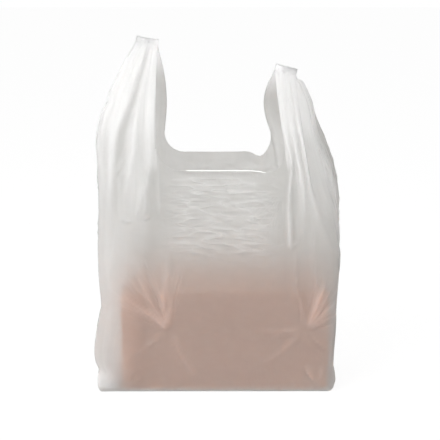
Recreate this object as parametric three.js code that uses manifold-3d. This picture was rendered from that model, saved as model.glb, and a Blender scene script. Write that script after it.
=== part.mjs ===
// Vest carrier bag of thin white film, standing open on its base with a plain carton inside.
// Millimetres, +Z up, the front panel faces -Y.
import * as THREE from "three";
import { mergeVertices } from "three/addons/utils/BufferGeometryUtils.js";
import Module from "manifold-3d";

const wasm = await Module();
wasm.setup();

// Film tube, as it lies flat before it is filled
const filmWall = 0.6; // stands for the 0.02 film with its fine crumple
const panelWidth = 300; // front and back panels, fold line to fold line
const gussetDepth = 66; // each side is tucked in by this much
const strapWidth = 70; // left beside the punched mouth, for each handle
const mouthRadius = 27; // round corners of the punched mouth
const plyPitch = 1.4; // centre to centre of two plies that lie together
const seamPucker = 12; // each end of the base weld stays this far inside the side folds
const seamWidth = 4;

// Standing form
const baseEdgeRadius = 4;
const hemHeight = 295;
const frontLipCurl = 3;
const frontLipHeight = 12;
const valleyDepth = 9; // what is left of the gusset crease halfway up a side
const wallSwell = 10; // most that a wall bulges past its flat place
const mouthDrift = 15; // the panels' middle leans right by this much at the mouth
const sharpFold = 5; // corner radius of the tube beside the carton
const softFold = 22; // and above it
const softFoldHeight = 236;

// Wrinkles: ridges fan out from two knots on the front, and long ones run up into the straps
const foldDepth = 6;
const foldWidth = 6; // half of a ridge's width
const fanReach = 92;
const fanSpread = 0.09; // a ridge grows wider by this share of its length
const knotDrop = 50; // below the carton's top
const leftKnotInset = 88; // from the side fold
const rightKnotInset = 38;
const leftFanAngles = [108, 122, 137, 218, 300];
const rightFanAngles = [72, 56, 40, 232, 318];

// Handles, each gathered into a weld across its top
const weldWidth = 30;
const weldHeight = 8;
const weldOverhang = 0.6; // past the film at each end
const weldPleats = 2;
const weldPleatSize = 2.6;
const leftHandleReach = 131; // top of the weld above the strap base
const leftHandleInset = 64; // middle of the weld from the side fold
const leftHandleLean = 1.8;
const leftWeldTilt = 10;
const rightHandleReach = 94;
const rightHandleInset = 59;
const rightHandleLean = 1.1;
const rightHandleSlump = 4; // toward the back
const rightWeldTilt = 14;
const strapPleatSize = 3.2;
const pleatFade = 107; // the pleats die out this far below the strap base
const gussetShareAtWeld = 0.6; // how far the gusset still reaches between the straps there

// Carton
const leftRoom = 27; // from the side fold of the bag
const rightRoom = 5;
const depthSlack = 6; // the side folds stand this far off the carton's front and back
const cartonHeight = 132;
const cartonEdge = 2;
const flapSlot = 1.2; // where the two top flaps meet
const contactGap = 0.3;

// Worked out from the sizes above
const sideWidth = 2 * gussetDepth;
const halfPanel = panelWidth / 2;
const halfSeam = halfPanel - seamPucker;
const strapBase = hemHeight + mouthRadius;
const mouthEdge = halfPanel - strapWidth;
const floorTop = 2 * plyPitch + filmWall; // three plies lie on each other where a gusset is folded in
const cartonWidth = panelWidth - leftRoom - rightRoom;
const cartonDepth = sideWidth - 2 * depthSlack;
const cartonShift = (leftRoom - rightRoom) / 2;
const frontWall = cartonDepth / 2 + contactGap + filmWall;
const knotHeight = cartonHeight - knotDrop;

const radians = THREE.MathUtils.degToRad;
const lerp = THREE.MathUtils.lerp;
const smooth = THREE.MathUtils.smoothstep;
const bump = (distance, halfWidth) => Math.exp(-((distance / halfWidth) ** 2));

// A smooth curve up the walls. Each station is [share of the strap base's height, share of the size]
function profile(size, stations) {
  const heights = stations.map((station) => station[0] * strapBase);
  const values = stations.map((station) => station[1] * size);
  const curve = new THREE.CubicInterpolant(heights, values, 1);
  return (height) => curve.evaluate(height)[0];
}

// How far each wall of the standing bag swells past its flat place, by height
const leftWaist = [[0.1, 0.2], [0.17, 0.65], [0.25, 0.35], [0.36, -0.3]];
const leftSwell = profile(wallSwell, [[0, 0.3], [0.06, 0.35], ...leftWaist, [0.5, 0], [1, 0.2]]);
const rightWaist = [[0.12, 0.3], [0.28, 0.5], [0.36, 0.5], [0.56, 0.95], [0.72, 0.9]];
const rightSwell = profile(wallSwell, [[0, 0.5], [0.06, 0.5], ...rightWaist, [0.86, 0.5], [1, -0.6]]);
const frontSwell = profile(wallSwell, [[0, 0.1], [0.38, 0.1], [0.62, 0.3], [0.81, 0.1], [1, -0.2]]);
const backSwell = profile(wallSwell, [[0, 0.2], [0.38, 0.4], [0.62, 0.4], [0.81, 0], [1, -0.3]]);
const drift = profile(mouthDrift, [[0, 0], [0.4, 0.13], [0.69, 0.53], [1, 1]]);
const foldSoftness = (height) => lerp(sharpFold, softFold, smooth(height, cartonHeight, softFoldHeight));

// Point and outward direction on a rounded rectangle; side 0 is the front, then right, back and left
function section(height, side, share) {
  const left = -halfPanel - leftSwell(height);
  const right = halfPanel + rightSwell(height);
  const front = -frontWall - frontSwell(height);
  const back = frontWall + backSwell(height);
  const foldRadius = foldSoftness(height);
  const corners = [[left, front], [right, front], [right, back], [left, back]];
  const [fromX, fromY] = corners[side];
  const [toX, toY] = corners[(side + 1) % corners.length];
  const length = Math.hypot(toX - fromX, toY - fromY);
  const along = new THREE.Vector2(toX - fromX, toY - fromY).divideScalar(length);
  const outward = new THREE.Vector2(along.y, -along.x);
  const halfArc = (Math.PI / 4) * foldRadius;
  const straight = length - 2 * foldRadius;
  const travel = share * (straight + 2 * halfArc);
  const centreX = fromX - outward.x * foldRadius;
  const centreY = fromY - outward.y * foldRadius;
  let position = foldRadius + THREE.MathUtils.clamp(travel - halfArc, 0, straight);
  let turn = 0;
  if (travel < halfArc) turn = (travel - halfArc) / foldRadius;
  if (travel > halfArc + straight) turn = (travel - halfArc - straight) / foldRadius;
  const normal = outward.clone().rotateAround(new THREE.Vector2(), turn);
  return {
    x: centreX + along.x * position + normal.x * foldRadius,
    y: centreY + along.y * position + normal.y * foldRadius,
    normal,
  };
}

// Ridge that leaves a knot in one direction, growing wider as it goes
function ray(x, z, knotX, degrees) {
  const dx = Math.cos(radians(degrees));
  const dz = Math.sin(radians(degrees));
  const along = (x - knotX) * dx + (z - knotHeight) * dz;
  const across = (x - knotX) * dz - (z - knotHeight) * dx;
  const width = 0.6 * foldWidth + fanSpread * Math.max(along, 0);
  const ends = smooth(along, 0, fanReach / 3) * (1 - smooth(along, fanReach / 2, fanReach));
  return bump(across, width) * ends;
}

// Upright ridge with soft ends
function upright(x, z, centreX, bottom, top) {
  const soft = 4 * foldWidth;
  const ends = smooth(z, bottom, bottom + soft) * (1 - smooth(z, top - soft, top));
  return bump(x - centreX, foldWidth) * ends;
}

// Wrinkles of a large panel, always outward, so that the film stays off the carton
function panelFolds(x, z) {
  const leftKnot = leftKnotInset - halfPanel;
  const rightKnot = halfPanel - rightKnotInset;
  const leftFan = leftFanAngles.map((angle) => ray(x, z, leftKnot, angle));
  const rightFan = rightFanAngles.map((angle) => ray(x, z, rightKnot, angle));
  const fans = [...leftFan, ...rightFan].reduce((sum, value) => sum + value, 0);
  const rightLong = upright(x, z, mouthEdge + 2 * foldWidth, cartonHeight, strapBase);
  const leftLong = upright(x, z, -mouthEdge - 2 * foldWidth, 1.4 * cartonHeight, strapBase);
  const rightLow = upright(x, z, mouthEdge + strapWidth / 2, 0.8 * cartonHeight, hemHeight);
  const leftLow = upright(x, z, 2 * foldWidth - mouthEdge, 0.7 * cartonHeight, hemHeight);
  return foldDepth * (fans + 0.8 * rightLong + 0.7 * leftLong + (rightLow + leftLow) / 2);
}

// Columns of the tube, in the order front, right gusset, back, left gusset
function makeColumns(frontSteps, backSteps, gussetSteps) {
  const columns = [];
  const cornerAngles = [18, 45, 68, 90];
  const open = mouthEdge - mouthRadius;
  const addPanel = (side, steps) => {
    const places = [];
    for (let i = 0; i < steps.strap; i++) places.push((strapWidth * i) / steps.strap);
    places.push(strapWidth);
    for (const angle of cornerAngles) places.push(strapWidth + mouthRadius * (1 - Math.cos(radians(angle))));
    for (let i = 1; i <= steps.mouth; i++) places.push(strapWidth + mouthRadius + (open * i) / steps.mouth);
    const mirrored = places.slice(0, -1).map((place) => panelWidth - place).reverse();
    for (const place of [...places, ...mirrored].slice(0, -1)) {
      const inset = Math.min(place, panelWidth - place) - strapWidth;
      const sunk = inset < mouthRadius ? mouthRadius - Math.max(inset, 0) : 0;
      const rise = inset <= 0 ? mouthRadius : mouthRadius - Math.sqrt(mouthRadius ** 2 - sunk ** 2);
      const onRight = place > halfPanel === (side === 0);
      columns.push({ side, share: place / panelWidth, top: hemHeight + rise, inset, onRight, place });
    }
  };
  const addGusset = (side, steps) => {
    for (let i = 0; i < steps; i++) {
      const share = i / steps;
      columns.push({ side, share, top: strapBase, inset: -1, onRight: side === 1, place: share * sideWidth });
    }
  };
  addPanel(0, frontSteps);
  addGusset(1, gussetSteps);
  addPanel(2, backSteps);
  addGusset(3, gussetSteps);
  return columns;
}

const isGusset = (column) => column.side % 2 === 1;

// 0 at a side fold, 1 at the valley of the gusset
const tuckShare = (column) => (isGusset(column) ? 1 - Math.abs(2 * column.share - 1) : 0);

// -1 in the front half of the tube, 1 in the back half, 0 on a valley
function halfSign(column) {
  if (!isGusset(column)) return column.side - 1;
  return Math.sign(column.share - 0.5) * (column.side === 1 ? 1 : -1);
}

// Share of the way across a strap, from the mouth edge (0) to the side fold (1)
const acrossStrap = (column) => 1 - Math.min(column.place, panelWidth - column.place) / strapWidth;

// Pleats that run down a strap from its gathered top
function strapPleat(column) {
  if (isGusset(column) || column.inset > 0) return 0;
  return strapPleatSize * Math.sin(2 * Math.PI * weldPleats * acrossStrap(column));
}

// Film centre surface of the standing body, above the base edge
function bodyPoint(column, z) {
  const { x, y, normal } = section(z, column.side, column.share);
  const point = new THREE.Vector3(x, y, z);
  const outward = new THREE.Vector3(normal.x, normal.y, 0);
  if (isGusset(column)) {
    const sunk = valleyDepth * tuckShare(column) * smooth(z, cartonHeight, strapBase);
    return point.addScaledVector(outward, -sunk);
  }
  const middle = 1 - (2 * column.share - 1) ** 2;
  point.x += middle * drift(z);
  const mirror = column.side === 0 ? 1 : -1;
  const folds = panelFolds(mirror * point.x, z) * smooth(middle, 0, 0.25);
  const pleats = strapPleat(column) * smooth(z, strapBase - pleatFade, strapBase);
  point.addScaledVector(outward, folds + pleats);
  if (column.side === 0 && column.inset > 0) {
    point.y -= frontLipCurl * smooth(z, column.top - frontLipHeight, column.top);
  }
  return point;
}

// Floor and base edge. Level 0 is at the weld, 1 at the slanting crease of a tuck, 2 where the base
// edge begins and 4 on top of it. Each gusset folds flat between 0 and 2, in a triangle of two plies.
function floorPoint(column, level) {
  const { x, y, normal } = section(baseEdgeRadius, column.side, column.share);
  const tuck = tuckShare(column);
  const angle = radians(45 * Math.max(level - 2, 0));
  const inset = baseEdgeRadius * (1 - Math.sin(angle));
  let plies = 0;
  if (tuck > 0) plies = 1 + Math.min(level, 2) / 2;
  if (column.share === 0) plies = 0.5;
  const height = filmWall / 2 + plies * plyPitch + baseEdgeRadius * (1 - Math.cos(angle));
  const edge = new THREE.Vector3(x - normal.x * inset, y - normal.y * inset, height);
  if (level >= 2) return edge;
  const outer = Math.sign(x) * (halfSeam - tuck * gussetDepth);
  const panelX = (2 * column.share - 1) * halfSeam * -halfSign(column);
  const seam = new THREE.Vector3(isGusset(column) ? outer : panelX, halfSign(column) * filmWall, height);
  if (level === 0) return seam;
  if (tuck === 0) return seam.lerp(edge, column.share === 0 ? 0.9 : 0.5);
  const corner = section(baseEdgeRadius, column.side, column.share < 0.5 ? 0 : 1);
  const apexX = Math.sign(x) * (halfSeam - gussetDepth - seamWidth);
  const apex = new THREE.Vector3(apexX, halfSign(column) * seamWidth, height);
  const foldX = corner.x - corner.normal.x * inset;
  const foldY = corner.y - corner.normal.y * inset;
  return new THREE.Vector3(foldX, foldY, height).lerp(apex, tuck);
}

// A frame at the top of a handle: x runs across the weld, y through the plies
function weldFrame(onRight) {
  const centreX = onRight ? halfPanel - rightHandleInset : leftHandleInset - halfPanel;
  const centreZ = strapBase + (onRight ? rightHandleReach : leftHandleReach);
  const tilt = new THREE.Matrix4().makeRotationY(radians(onRight ? rightWeldTilt : leftWeldTilt));
  return tilt.setPosition(centreX, onRight ? rightHandleSlump : 0, centreZ);
}

const pleatAt = (share) => weldPleatSize * Math.sin(2 * Math.PI * weldPleats * share);

// Place of a column in the stack of four plies that the weld holds
function weldPoint(column) {
  const share = isGusset(column) ? 1 - tuckShare(column) * gussetShareAtWeld : acrossStrap(column);
  let ply = isGusset(column) ? 0.5 : 1.5;
  if (column.share === 0) ply = 1;
  const local = new THREE.Vector3(
    (column.onRight ? 1 : -1) * weldWidth * (share - 0.5),
    pleatAt(share) + halfSign(column) * ply * plyPitch,
    -weldHeight / 2,
  );
  return local.applyMatrix4(weldFrame(column.onRight));
}

// Film centre surface of a handle, from the strap base (0) to the weld (1)
function handlePoint(column, rise) {
  const base = bodyPoint(column, strapBase);
  const top = weldPoint(column);
  const lean = column.onRight ? rightHandleLean : leftHandleLean;
  const pleats = halfSign(column) * strapPleat(column) * Math.sin(Math.PI * rise);
  return new THREE.Vector3(
    lerp(base.x, top.x, rise ** lean),
    lerp(base.y, top.y, rise ** 1.5) + pleats,
    lerp(base.z, top.z, rise),
  );
}

// Quads of the centre surface, columns running round and rows running up
function filmSheet() {
  const columns = makeColumns({ strap: 9, mouth: 7 }, { strap: 7, mouth: 4 }, 10);
  const floorLevels = [0, 1, 2, 3, 4];
  const wallRows = 18;
  const handleRows = 11;
  const points = [];
  const grid = columns.map((column) => {
    const stack = floorLevels.map((level) => floorPoint(column, level));
    const start = stack[stack.length - 1].z;
    for (let row = 1; row <= wallRows; row++) {
      stack.push(bodyPoint(column, lerp(start, column.top, row / wallRows)));
    }
    if (column.inset <= 0) {
      for (let row = 1; row <= handleRows; row++) stack.push(handlePoint(column, row / handleRows));
    }
    return stack.map((point) => points.push(point) - 1);
  });
  const faces = [];
  grid.forEach((stack, index) => {
    const next = grid[(index + 1) % grid.length];
    const rows = Math.min(stack.length, next.length);
    for (let row = 1; row < rows; row++) {
      faces.push([stack[row - 1], next[row - 1], next[row]], [stack[row - 1], next[row], stack[row]]);
    }
  });
  return { points, faces };
}

// Two skins either side of a centre surface, with its open edges closed by rim strips
function thicken({ points, faces }, wall) {
  const normals = points.map(() => new THREE.Vector3());
  const triangle = new THREE.Triangle();
  for (const [a, b, c] of faces) {
    triangle.set(points[a], points[b], points[c]);
    const weight = triangle.getNormal(new THREE.Vector3()).multiplyScalar(triangle.getArea());
    for (const corner of [a, b, c]) normals[corner].add(weight);
  }
  const outer = points.map((p, i) => p.clone().addScaledVector(normals[i].normalize(), wall / 2));
  const inner = points.map((p, i) => p.clone().addScaledVector(normals[i], -wall / 2));
  const count = points.length;
  const index = [];
  const edges = new Map();
  for (const [a, b, c] of faces) {
    index.push(a, b, c, count + a, count + c, count + b);
    for (const [from, to] of [[a, b], [b, c], [c, a]]) edges.set(from + "," + to, [from, to]);
  }
  for (const [from, to] of edges.values()) {
    if (edges.has(to + "," + from)) continue;
    index.push(to, from, count + from, to, count + from, count + to);
  }
  const geometry = new THREE.BufferGeometry().setFromPoints([...outer, ...inner]);
  return geometry.setIndex(index);
}

// Manifold solid of a closed three.js geometry, and back
function toSolid(geometry) {
  const bare = geometry.clone().deleteAttribute("normal").deleteAttribute("uv");
  const merged = mergeVertices(bare, 1e-4);
  const mesh = new wasm.Mesh({
    numProp: 3,
    vertProperties: Float32Array.from(merged.attributes.position.array),
    triVerts: Uint32Array.from(merged.index.array),
  });
  return new wasm.Manifold(mesh);
}

function toGeometry(solid) {
  const mesh = solid.getMesh();
  const geometry = new THREE.BufferGeometry();
  geometry.setAttribute("position", new THREE.BufferAttribute(mesh.vertProperties, 3));
  geometry.setIndex(new THREE.BufferAttribute(mesh.triVerts, 1));
  geometry.computeVertexNormals();
  return geometry;
}

// Pleated block that fuses the four plies across a handle top
function handleWeld(onRight) {
  const steps = 16;
  const outward = onRight ? 1 : -1;
  const length = weldWidth + 2 * weldOverhang;
  const outline = [];
  for (const side of [-1, 1]) {
    const edge = [];
    for (let i = 0; i <= steps; i++) {
      const share = i / steps;
      edge.push(new THREE.Vector2(outward * length * (share - 0.5), pleatAt(share) + side * 2 * plyPitch));
    }
    outline.push(...(side < 0 ? edge : edge.reverse()));
  }
  const depth = { depth: weldHeight, bevelEnabled: false };
  const block = new THREE.ExtrudeGeometry(new THREE.Shape(outline), depth);
  return block.translate(0, 0, -weldHeight).applyMatrix4(weldFrame(onRight));
}

// Strip that joins the two lowest plies along the middle of the floor
function baseWeld() {
  const bottom = 0.4 * filmWall;
  const top = plyPitch + 0.8 * filmWall;
  const strip = new THREE.BoxGeometry(2 * halfSeam + seamWidth, seamWidth, top - bottom);
  return strip.translate(0, 0, (top + bottom) / 2);
}

function makeBag() {
  const film = toSolid(thicken(filmSheet(), filmWall));
  const welds = [handleWeld(false), handleWeld(true), baseWeld()].map(toSolid);
  return toGeometry(wasm.Manifold.union([film, ...welds]).simplify(0.01));
}

function makeCarton() {
  const half = cartonWidth / 2 - cartonEdge;
  const deep = cartonDepth / 2 - cartonEdge;
  const plan = new THREE.Shape();
  plan.moveTo(-half, -deep).lineTo(half, -deep).lineTo(half, deep).lineTo(-half, deep).closePath();
  const bevel = { bevelThickness: cartonEdge, bevelSize: cartonEdge, bevelSegments: 3 };
  const body = new THREE.ExtrudeGeometry(plan, { depth: cartonHeight - 2 * cartonEdge, ...bevel });
  body.translate(0, 0, cartonEdge);
  const slot = new THREE.BoxGeometry(cartonWidth + cartonEdge, flapSlot, flapSlot);
  slot.translate(0, 0, cartonHeight - flapSlot / 2);
  return toGeometry(toSolid(body).subtract(toSolid(slot)));
}

const filmLook = { color: 0xe6e5e2, roughness: 0.45, metalness: 0, side: THREE.DoubleSide };
const bag = new THREE.Mesh(makeBag(), new THREE.MeshStandardMaterial(filmLook));
bag.name = "film_bag";
const cartonLook = { color: 0xa87f68, roughness: 0.85, metalness: 0 };
const carton = new THREE.Mesh(makeCarton(), new THREE.MeshStandardMaterial(cartonLook));
carton.name = "packed_carton";
carton.position.set(cartonShift, 0, floorTop + contactGap);

// The bag stands on the origin, midway between its outermost points
const carrier = new THREE.Group();
carrier.add(bag, carton);
const extent = new THREE.Box3().setFromObject(carrier);
const middle = extent.getCenter(new THREE.Vector3());
carrier.position.set(-middle.x, -middle.y, -extent.min.z);
export default carrier;
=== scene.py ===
import math
import bpy
from mathutils import Vector, Matrix, noise


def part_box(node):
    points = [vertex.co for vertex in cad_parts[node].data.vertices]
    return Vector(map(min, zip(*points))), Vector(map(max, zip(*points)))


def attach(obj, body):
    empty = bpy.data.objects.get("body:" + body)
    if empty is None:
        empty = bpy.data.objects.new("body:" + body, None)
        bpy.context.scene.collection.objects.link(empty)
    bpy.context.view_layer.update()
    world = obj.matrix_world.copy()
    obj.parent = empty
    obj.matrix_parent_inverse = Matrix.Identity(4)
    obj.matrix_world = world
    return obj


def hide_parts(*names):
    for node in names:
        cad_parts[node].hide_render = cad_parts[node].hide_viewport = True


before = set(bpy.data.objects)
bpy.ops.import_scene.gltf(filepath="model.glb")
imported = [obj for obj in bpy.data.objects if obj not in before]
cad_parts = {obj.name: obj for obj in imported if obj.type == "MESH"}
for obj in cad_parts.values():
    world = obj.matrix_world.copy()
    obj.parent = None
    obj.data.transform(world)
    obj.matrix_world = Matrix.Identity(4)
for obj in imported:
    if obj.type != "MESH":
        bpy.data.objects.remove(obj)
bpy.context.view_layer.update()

mm = 0.001
crumpleSeed = 7
noise.seed_set(crumpleSeed)  # without a seed, noise_vector gives other crumple on every run

# The carton tells where the part's own middle lies in the frame
cartonLow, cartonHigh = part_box("packed_carton")
carton = {
    "shift": 11 * mm,       # it stands right of the bag's middle
    "height": cartonHigh[2] - cartonLow[2],
    "depth": cartonHigh[1] - cartonLow[1],
}
middleX = (cartonLow[0] + cartonHigh[0]) / 2 - carton["shift"]
middleY = (cartonLow[1] + cartonHigh[1]) / 2

film = {
    "wall": 0.25 * mm,
    "panelWidth": 300 * mm,
    "gussetDepth": 66 * mm,
    "tubeRound": 864 * mm,   # two panels and four gusset halves
    "flatLength": 533 * mm,
    "strapWidth": 70 * mm,
    "mouthRadius": 27 * mm,
    "plyPitch": 1.4 * mm,
    "seamLength": 276 * mm,
    "seamWidth": 4 * mm,
    "edgeRadius": 4 * mm,
    "hemHeight": 295 * mm,
    "lipCurl": 5 * mm,
    "lipFrom": -38 * mm,     # the part of the front mouth edge that is curled over
    "lipTo": 62 * mm,
    "valleyDepth": 9 * mm,
    "sharpFold": 5 * mm,
    "softFold": 22 * mm,
    "softFoldHeight": 236 * mm,
    "roomInFront": 0.9 * mm,
    "step": 2.6 * mm,        # distance between the grid's columns
    "gussetColumnShare": 0.7,  # the gussets have this share of the columns that the step would give
    "closeRows": (178, 292),  # rows lie closer between these heights, where the film is finely wrinkled
    "rowSteps": (2.0, 3.9),   # between close rows and between the others
    "handleRows": 46,
    "strapClimb": 1.1,        # length along a strap for each unit of height
}
weld = {
    "width": 28 * mm,
    "height": 8 * mm,
    "pitch": 0.32 * mm,      # between plies pressed together
    "ripple": 0.2 * mm,      # how far its rows waver up and down
    "rows": (0.66, 0.33, 0),  # below its cut end, as shares of its height
    "gussetShare": 0.6,
    "pleatsEnd": 205 * mm,
    "left": {"centre": (-86 * mm, 0, 453 * mm), "tilt": 10, "lean": 1.8, "pleats": 1, "shift": 0.2,
             "pleatSize": 2.4 * mm},
    "right": {"centre": (91 * mm, 4 * mm, 416 * mm), "tilt": 14, "lean": 0.97, "pleats": 2, "shift": 0,
              "pleatSize": 0.4 * mm},
}
strapBase = film["hemHeight"] + film["mouthRadius"]


def clamp(value, low, high):
    return max(low, min(high, value))


def smooth(value, low, high):
    t = clamp((value - low) / (high - low), 0, 1)
    return t * t * (3 - 2 * t)


def mixed(a, b, t):
    return a + (b - a) * t


def bump(distance, halfWidth):
    return math.exp(-((distance / halfWidth) ** 2))


# Smooth curve through stations of (share of the strap base's height, share of the size)
def profile(size, stations):
    heights = [h * strapBase for h, _ in stations]
    values = [v * size for _, v in stations]
    slopes = []
    for i in range(len(heights)):
        a, b = max(i - 1, 0), min(i + 1, len(heights) - 1)
        slopes.append((values[b] - values[a]) / (heights[b] - heights[a]))

    def at(height):
        h = clamp(height, heights[0], heights[-1])
        i = 0
        while i < len(heights) - 2 and h > heights[i + 1]:
            i += 1
        span = heights[i + 1] - heights[i]
        t = (h - heights[i]) / span
        a = (1 + 2 * t) * (1 - t) ** 2 * values[i] + t * (1 - t) ** 2 * span * slopes[i]
        return a + t * t * (3 - 2 * t) * values[i + 1] + t * t * (t - 1) * span * slopes[i + 1]
    return at


swell = 10 * mm
leftSwell = profile(swell, [(0, 0.3), (0.06, 0.35), (0.09, 0.15), (0.13, 0.6), (0.18, 0.7), (0.25, 0.4),
                            (0.3, 0.1), (0.36, -0.3), (0.5, 0), (0.75, 0), (1, 0.2)])
rightSwell = profile(swell, [(0, 0.85), (0.06, 0.6), (0.11, 0.3), (0.28, 0.5), (0.36, 0.5), (0.56, 0.9),
                             (0.7, 1.0), (0.86, 0.75), (1, -0.4)])
frontSwell = profile(swell, [(0, 0.1), (0.38, 0.1), (0.62, 0.3), (0.81, 0.1), (1, -0.2)])
backSwell = profile(swell, [(0, 0.2), (0.38, 0.4), (0.62, 0.4), (0.81, 0), (1, -0.3)])
frontRightTuck = profile(1 * mm, [(0, 5), (0.05, 1), (0.45, 0), (0.56, 2), (0.7, 14), (0.85, 29), (1, 27)])
rightBelly = profile(1 * mm, [(0, 0), (0.45, 0), (0.6, 2), (0.8, 9), (0.92, 6), (1, 1)])
mouthLean = profile(1, [(0, 0), (0.4, 0.13), (0.69, 0.53), (1, 1)])
# How far each panel leans right at the mouth: at its left end, and how much more at its right end
lean = {"front": (2.7 * mm, 12.2 * mm), "back": (17.7 * mm, -24.3 * mm)}


def foldSoftness(height):  # corner radius of the tube: sharp beside the carton, soft above it
    above = smooth(height, carton["height"], film["softFoldHeight"])
    return mixed(film["sharpFold"], film["softFold"], above)


def section(height, side, share):  # rounded rectangle; sides run front, right, back, left
    left = -film["panelWidth"] / 2 - leftSwell(height)
    right = film["panelWidth"] / 2 + rightSwell(height)
    wallY = carton["depth"] / 2 + film["roomInFront"]
    front = -wallY - frontSwell(height)
    back = wallY + backSwell(height)
    radius = foldSoftness(height)
    corners = [(left, front), (right - frontRightTuck(height), front), (right, back), (left, back)]
    start, end = Vector(corners[side]), Vector(corners[(side + 1) % 4])
    length = (end - start).length
    along = (end - start) / length
    outward = Vector((along.y, -along.x))
    halfArc = math.pi / 4 * radius
    straight = length - 2 * radius
    travel = share * (straight + 2 * halfArc)
    centre = start - outward * radius + along * (radius + clamp(travel - halfArc, 0, straight))
    turn = 0
    if travel < halfArc:
        turn = (travel - halfArc) / radius
    elif travel > halfArc + straight:
        turn = (travel - halfArc - straight) / radius
    normal = Vector((outward.x * math.cos(turn) - outward.y * math.sin(turn),
                     outward.x * math.sin(turn) + outward.y * math.cos(turn)))
    return centre + normal * radius, normal


# Creases, placed as seen from the front, in millimetres
# A ray is (degrees, length, width at the knot, strength)
creases = {
    "leftFan": {
        "at": (-60, 84), "height": 4.4,
        "rays": [(136, 100, 1.5, 1.0), (143, 74, 1.2, 0.6), (119, 112, 1.8, 0.75), (101, 70, 2.0, 0.8),
                 (91, 116, 1.5, 0.55), (160, 60, 2.2, 0.35), (214, 88, 2.4, 0.4), (298, 88, 1.5, 0.55),
                 (282, 60, 1.5, 0.3), (356, 150, 2.4, 0.14)],
    },
    "rightFan": {
        "at": (116, 84), "height": 4.6,
        "rays": [(71, 80, 1.5, 1.0), (60, 72, 1.2, 0.7), (47, 62, 1.3, 0.8), (30, 44, 1.4, 0.9),
                 (180, 74, 1.4, 0.4), (188, 60, 1.4, 0.3), (219, 92, 2.0, 0.45), (-45, 46, 1.5, 0.55),
                 (98, 64, 1.7, 0.4)],
    },
    "hooks": [  # short creases on the front, where a long ridge ends or turns
        {"at": (-101, 227), "height": 4,
         "rays": [(75, 56, 1.5, 1), (166, 20, 1.6, 0.8), (24, 24, 1.3, 0.5)]},
        {"at": (-129, 281), "height": 4, "rays": [(62, 46, 1.7, 0.9), (14, 22, 1.5, 0.6)]},
        {"at": (127, 283), "height": 4, "rays": [(104, 72, 1.7, 0.7), (168, 18, 1.4, 0.6)]},
        {"at": (93, 189), "height": 4,
         "rays": [(56, 20, 1.3, 0.6), (128, 18, 1.3, 0.5), (91, 60, 1.6, 0.7)]},
        {"at": (-120, 12), "height": 5,
         "rays": [(20, 30, 1.6, 0.8), (60, 26, 1.8, 0.6), (150, 20, 1.6, 0.6)]},
        {"at": (133, 10), "height": 6, "rays": [(128, 34, 1.8, 0.9), (80, 30, 1.6, 0.7)]},
    ],
    # x, half width, bottom, top, height of each upright ridge, and how far its top leans over
    "uprights": [(94, 3.2, 186, 335, 4.6, 0), (110, 4, 200, 335, 2.6, 2), (-63, 2.2, 110, 292, 0.9, 0),
                 (-88, 3.4, 226, 340, 4.0, 9), (-112, 3.6, 258, 345, 3.8, 20), (-72, 3, 230, 335, 2.0, 4),
                 (104, 2.4, 118, 250, 1.4, 0), (128, 3, 96, 230, 1.8, -4), (3, 1.2, 215, 266, 0.5, 0)],
}
# How a crease bends and spreads along its way, and how much each kind whitens the film, partly as painted
# highlight on its crest
creaseShape = {"wander": 1.6, "raySpread": 0.022, "rayRise": 16, "uprightFade": (20, 25),
               "uprightWhite": 0.28, "wrinkleWhite": 0.3}
# Crumple of the panels in millimetres: height, size of its cells
crumple = {"band": (1.0, 13), "wrinkles": (2.0, 6.5), "upper": (0.9, 26), "corners": (3.4, 11),
           "foot": (0.9, 9), "overall": (0.6, 17)}
slackLeft = 15       # how far the film stands off left of the carton, in millimetres
panelMiddle = 4      # the panels' middle at the foot
backBandShift = 28   # the wrinkled band lies this much further left on the back
footCrease = {"height": 0.8, "at": 9.5, "slope": 0.012, "halfWidth": 1.6}


def ray(x, z, fan, degrees, reach, width):  # ridge that leaves a knot in one direction
    dx, dz = math.cos(math.radians(degrees)), math.sin(math.radians(degrees))
    along = (x - fan["at"][0]) * dx + (z - fan["at"][1]) * dz
    if along < 1 or along > reach:
        return 0
    across = (x - fan["at"][0]) * dz - (z - fan["at"][1]) * dx
    across += creaseShape["wander"] * math.sin(along * 0.06 + degrees) * smooth(along, 8, 40)
    spread = 0.9 * width + creaseShape["raySpread"] * along
    crest = 0.55 * math.exp(-abs(across) / spread) + 0.45 * bump(across, 1.4 * spread)
    return crest * smooth(along, 1, creaseShape["rayRise"]) * (1 - smooth(along, 0.6 * reach, reach))


def facets(x, y, z, size):  # flat crumple cells with sharp edges between them, 0 to 1
    point = Vector((x, y, z)) / size
    distances, _ = noise.voronoi(point + noise.noise_vector(point * 0.7) * 0.5)
    return clamp(distances[0], 0, 1)


def ridges(x, z, size):  # sharp crests of a wavy field, 0 to 1
    return (1 - abs(noise.noise(Vector((x, 3.1, z)) / size))) ** 6


def creaseFolds(x, z, front):  # height of the fans, hooks and upright ridges, and how much they whiten the film, partly painted highlight on the crests
    total, crests = 0, 0
    for fan in [creases["leftFan"], creases["rightFan"]] + creases["hooks"] * front:
        for degrees, reach, width, strength in fan["rays"]:
            crest = strength * ray(x, z, fan, degrees, reach, width)
            total += fan["height"] * crest
            crests += crest
    fadeIn, fadeOut = creaseShape["uprightFade"]
    for centreX, halfWidth, bottom, top, height, over in creases["uprights"]:
        t = clamp((z - bottom) / (top - bottom), 0, 1)
        across = x - centreX - over * t * t - creaseShape["wander"] * math.sin(z * 0.045 + centreX)
        ends = smooth(z, bottom, bottom + fadeIn) * (1 - smooth(z, top - fadeOut, top))
        crest = 0.5 * math.exp(-abs(across) / halfWidth) + 0.5 * bump(across, 1.3 * halfWidth)
        total += height * crest * ends
        crests += creaseShape["uprightWhite"] * height * crest ** 2 * ends
    return total, crests


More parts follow.
